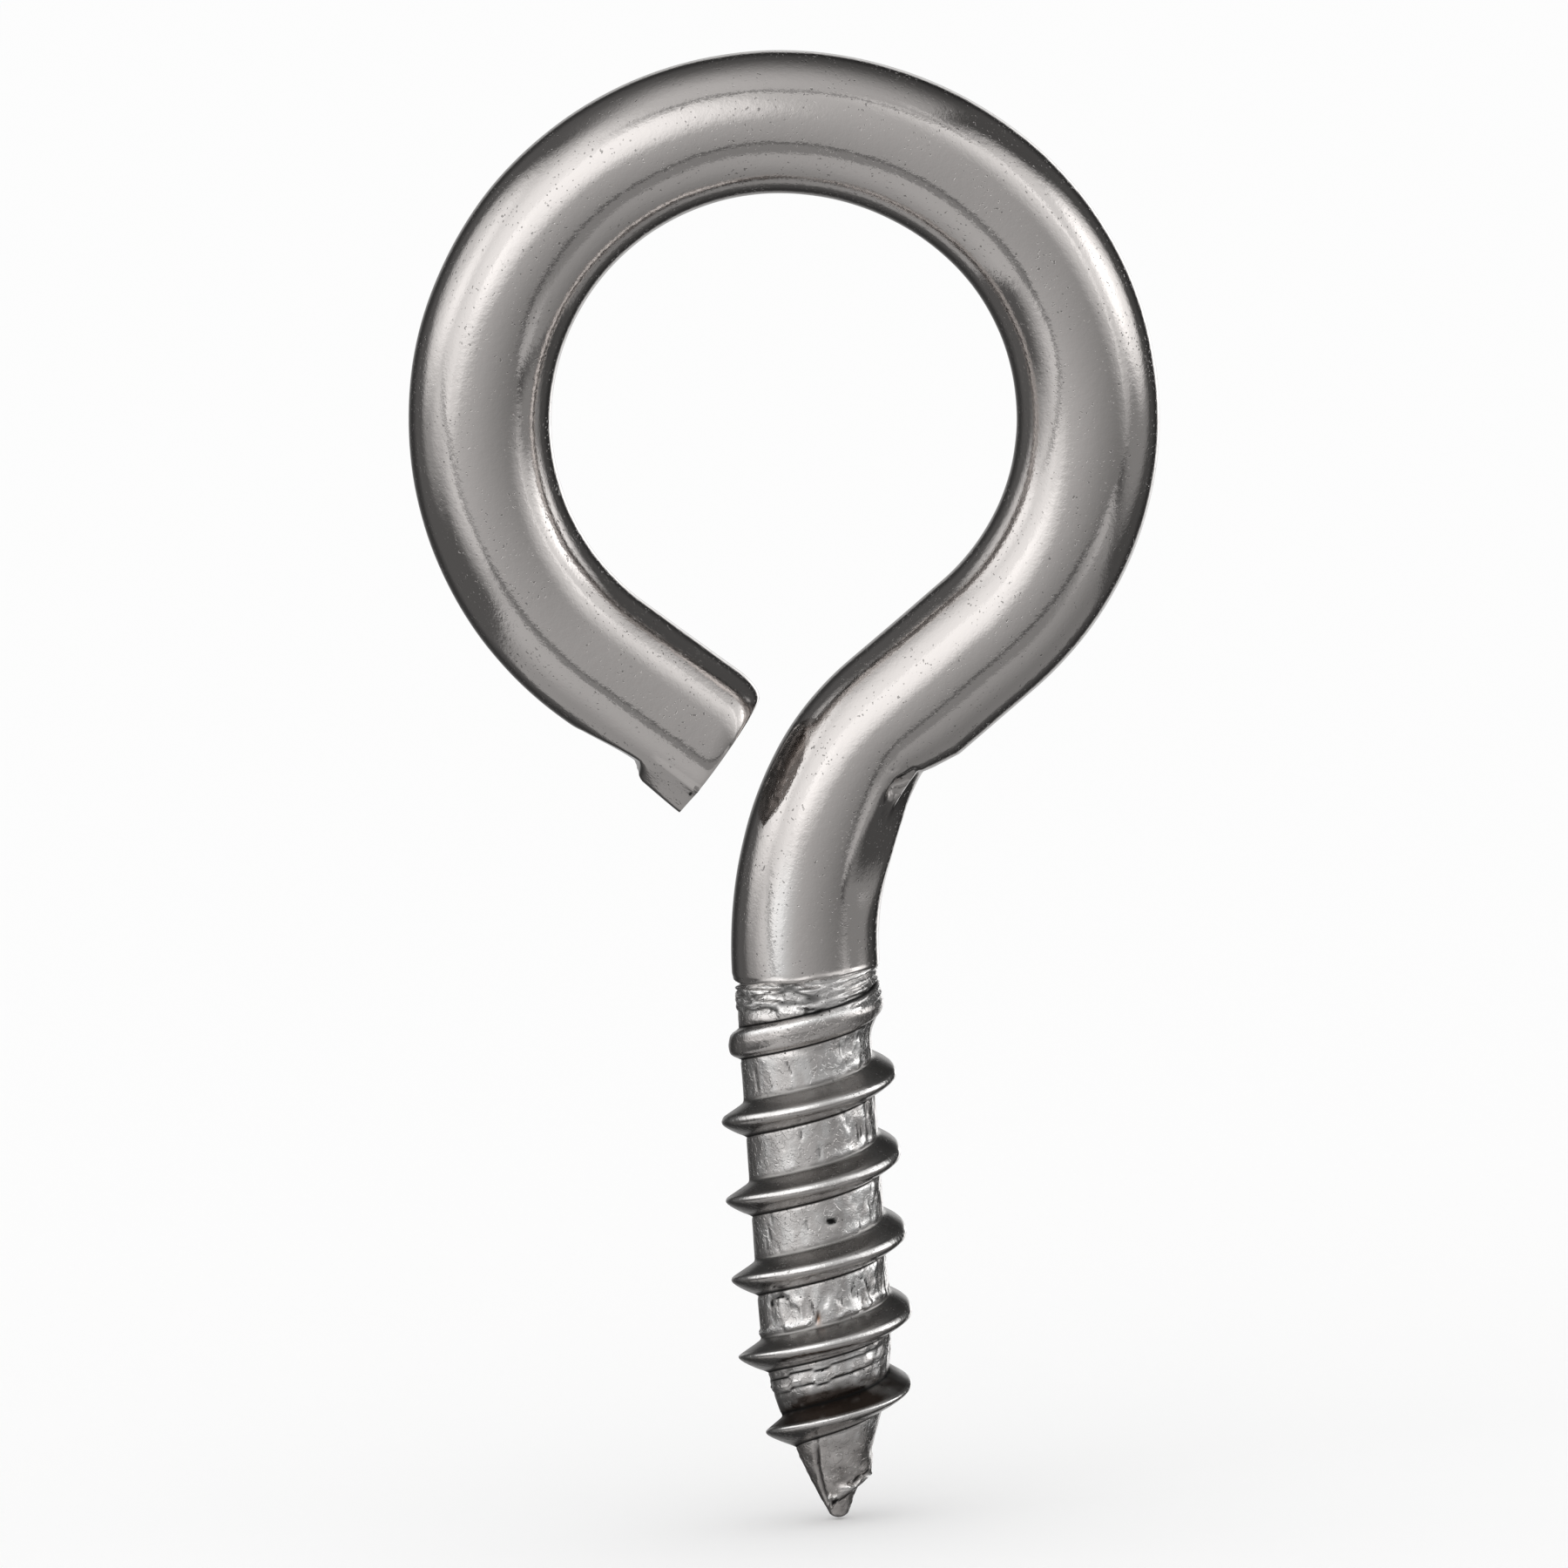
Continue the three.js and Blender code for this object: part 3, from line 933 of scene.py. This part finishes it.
def studio(x, y, front):
    """Brightness seen in a direction: x to the right, y up and front towards the camera."""
    def toward(turn, tilt):
        """How directly a ray looks at a place: turn is the angle on screen, tilt the angle off axis."""
        turn, tilt = math.radians(turn), math.radians(tilt)
        return (x * (math.sin(tilt) * math.cos(turn)) + y * (math.sin(tilt) * math.sin(turn))
                + front * math.cos(tilt))

    def lamp(turn, tilt, inner, outer, strength):
        """A round soft light: full inside the inner angle and gone at the outer one."""
        inner, outer = math.radians(inner), math.radians(outer)
        return toward(turn, tilt).ramp(math.cos(outer), math.cos(inner)) * strength

    def beyond(turn, tilt):
        """Sine of the angle past a straight edge that lies tilt degrees off axis."""
        return toward(turn, tilt + 90)

    def past(turn, tilt, soft):
        """0 before a straight edge and 1 past it, with a transition of soft degrees each way."""
        s = math.sin(math.radians(soft))
        return beyond(turn, tilt).ramp(-s, s)

    def plane(a, b, c):
        """Sine of the angle past a plane, given by the direction that faces it."""
        size = math.sqrt(a * a + b * b + c * c)
        return x * (a / size) + y * (b / size) + front * (c / size)

    def line(value, width):
        """1 on an edge, falling to nothing width degrees away."""
        s = math.sin(math.radians(width))
        return value.ramp(-s, 0) * (1 - value.ramp(0, s))

    # walls and side lights
    level = 0.14 - x * 0.02
    level = level + lamp(148, 30, 4, 70, 1.05) + lamp(26, 68, 2, 34, 0.78)
    level = level + lamp(2, 88, 18, 33, 0.2) + lamp(180, 86, 4, 26, 0.25)
    # strip overhead
    strip = (0.55 - x * 0.22 + y * 0.06) * (0.22 + 0.78 * front.ramp(-0.58, 0.46))
    on_strip = (1 - past(-31, 0, 2.5)) * (1 - past(212, 0, 11)) * y.ramp(0, 0.1)
    level = level.mix(strip, on_strip)
    # table below: shelf and lower panel
    edge = plane(0, -1, -0.71).math("MAXIMUM", plane(-0.26, -1, -0.77))
    low_edge = plane(0, -1, -1.32).math("MAXIMUM", plane(-0.75, -1, -1.35))
    below = edge.ramp(-0.02, 0.02)
    on_table = below * (1 - past(134, 0, 3)) * (1 - past(60, 9, 4))
    level = level.mix(0.31 + 0.25 * x.ramp(0.5, 0.8), on_table * front.ramp(-0.1, 0.2))
    panel = (0.56 - x * 0.16 + y * 0.08) * (0.7 + 0.3 * front.ramp(-0.2, 0.5))
    level = level.mix(panel, on_table * low_edge.ramp(-0.02, 0.02) * front.ramp(-0.56, -0.46))
    # sheet in front
    sheet = 0.53 - x * 0.25 + y * 0.22
    sheet = sheet + lamp(143, 34, 1, 33, 0.62) + lamp(180, 47, 4, 20, 0.25) + lamp(33, 86, 2, 58, 0.64)
    on_sheet = 1 - below
    for turn, tilt in ((119, 46.4), (150, 43), (60, 58), (-6, 72)):
        on_sheet = on_sheet * (1 - past(turn, tilt, 2))
    level = level.mix(sheet, on_sheet)
    # dark and bright seams
    level = level * (1 - 0.6 * line(edge, 2.8) * front.ramp(0.2, 0.5) * x.ramp(0.75, 0.5))
    level = level * (1 - 0.62 * line(beyond(92, 51), 3) * on_strip)
    level = level + 0.35 * line(beyond(24, 60.5), 3) * y.ramp(-0.3, 0.1) * x.ramp(0.3, 0.5)
    level = level + lamp(18, 94, 3, 25, 0.9) + lamp(159, 92, 1, 28, 0.65)
    # sheet behind
    level = level * (1 - 0.4 * front.ramp(-0.55, -0.8))
    behind = (0.5 + x * 0.9 + y * 0.5).math("MAXIMUM", 0.12) + lamp(20, 158, 1, 16, 0.7)
    level = level.mix(behind, front.ramp(-0.84, -0.92))
    return level * STUDIO_CONTRAST - STUDIO_SHADE


def reflected_studio(tree):
    """Brightness of the studio in each direction, as the polished wire reflects it."""
    ray = tree.nodes.new("ShaderNodeTexCoord").outputs["Generated"]
    x, y, front = (direction(tree, axis, ray) for axis in camera_axes())
    return studio(x, y, front)


def add_world():
    """A plain backdrop and plain light, with the drawn studio in the reflections only."""
    world = bpy.data.worlds.new("studio")
    bpy.context.scene.world = world
    world.use_nodes = True
    tree = world.node_tree
    tree.nodes.clear()
    plain = tree.nodes.new("ShaderNodeBackground")
    plain.inputs["Color"].default_value = (BACKDROP, BACKDROP, BACKDROP, 1)
    reflected = tree.nodes.new("ShaderNodeBackground")
    tree.links.new(reflected_studio(tree).socket, reflected.inputs["Strength"])
    path = tree.nodes.new("ShaderNodeLightPath")
    either = tree.nodes.new("ShaderNodeMixShader")
    tree.links.new(path.outputs["Is Glossy Ray"], either.inputs[0])
    tree.links.new(plain.outputs[0], either.inputs[1])
    tree.links.new(reflected.outputs[0], either.inputs[2])
    output = tree.nodes.new("ShaderNodeOutputWorld")
    tree.links.new(either.outputs[0], output.inputs["Surface"])
    world.cycles.sampling_method = "NONE"


def add_floor():
    """A plain pale floor that the polished metal doesn't reflect."""
    place = (0, 0, -FLOOR_GAP * MM)
    bpy.ops.mesh.primitive_circle_add(
        vertices=96, radius=FLOOR_RADIUS, fill_type="NGON", location=place)
    floor = bpy.context.object
    floor.name = "floor"
    floor.visible_glossy = False
    material = bpy.data.materials.new("pale_floor")
    material.use_nodes = True
    surface = material.node_tree.nodes["Principled BSDF"]
    surface.inputs["Base Color"].default_value = (1, 1, 1, 1)
    surface.inputs["Roughness"].default_value = 1
    surface.inputs["Specular IOR Level"].default_value = 0
    floor.data.materials.append(material)


def attribute(tree, name):
    """A mark that surface_marks() stored on the points of the mesh."""
    node = tree.nodes.new("ShaderNodeAttribute")
    node.attribute_name = name
    return Term(tree, node.outputs["Fac"])


def noise(tree, size, detail=2.0):
    """Noise from 0 to 1 whose grains are about size mm."""
    place = tree.nodes.new("ShaderNodeTexCoord").outputs["Object"]
    node = tree.nodes.new("ShaderNodeTexNoise")
    node.inputs["Scale"].default_value = 1 / (size * MM)
    node.inputs["Detail"].default_value = detail
    tree.links.new(place, node.inputs["Vector"])
    return Term(tree, node.outputs["Fac"])


def layered_colour(tree, base, layers):
    """Starts from a base colour and lays each layer, a colour and its share, over it."""
    result = tree.nodes.new("ShaderNodeRGB").outputs[0]
    result.default_value = (*base, 1)
    for colour, share in layers:
        node = tree.nodes.new("ShaderNodeMix")
        node.data_type = "RGBA"
        tree.links.new(share.socket, node.inputs["Factor"])
        tree.links.new(result, node.inputs["A"])
        node.inputs["B"].default_value = (*colour, 1)
        result = node.outputs["Result"]
    return result


def polished_steel():
    """Bright warm-grey steel with fine pits, duller and scored on the rolled thread, with painted
    highlights and painted shade in its colour.
    """
    material = bpy.data.materials.new("polished_steel")
    material.use_nodes = True
    tree = material.node_tree
    surface = tree.nodes["Principled BSDF"]
    surface.inputs["Metallic"].default_value = 1
    rolled, stain = attribute(tree, "rolled"), attribute(tree, "stain")
    upper_flank = attribute(tree, "upper_flank")
    specks = noise(tree, 0.09, 1.0).ramp(0.67, 0.73) * noise(tree, 0.9).ramp(0.38, 0.56)
    dark = attribute(tree, "pit") + attribute(tree, "crack_and_shade") * 0.85 + specks * 0.5
    dark = dark.ramp(0.2, 0.8)
    colour = layered_colour(tree, STEEL, [
        # rubbed metal, with painted highlights on the crests, the top turn's shoulder and the neck
        (WORN_AND_HIGHLIGHT_STEEL, attribute(tree, "worn_and_highlight")),
        # painted shade on the flanks
        (FLANK_PAINTED_SHADE, upper_flank + attribute(tree, "lower_flank") * 0.4),
        (RUST, attribute(tree, "rust")),
        (DIRT, stain),
        # pits and cracks, and painted shade at the thread's feet and between the band's wrinkles
        (DARK_PIT_AND_SHADE, dark),
    ])
    tree.links.new(colour, surface.inputs["Base Color"])
    smears = noise(tree, 1.6, 3.0).ramp(0.35, 0.75)
    roughness = 0.075 + smears * 0.035 + rolled * 0.13 + dark * 0.3
    roughness = roughness + upper_flank * 0.14 + stain * 0.15
    tree.links.new(roughness.socket, surface.inputs["Roughness"])
    peel = noise(tree, 0.22, 3.0) * (0.005 + rolled * 0.006)
    grain = noise(tree, 0.07, 2.0) * (0.0024 + rolled * 0.003)
    flakes = noise(tree, 0.25, 2.0).ramp(0.52, 0.55) * rolled * 0.008
    height = (peel + grain + flakes) * (1 - upper_flank * 0.75) - specks * 0.006
    bumps = tree.nodes.new("ShaderNodeBump")
    bumps.inputs["Distance"].default_value = MM
    tree.links.new(height.socket, bumps.inputs["Height"])
    tree.links.new(bumps.outputs[0], surface.inputs["Normal"])
    return material


piece = screw_eye_piece()
piece.data.materials.append(polished_steel())
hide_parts("screw_eye")
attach(piece, "root")

add_floor()
add_world()
add_camera()
bpy.context.scene.view_settings.view_transform = "Standard"
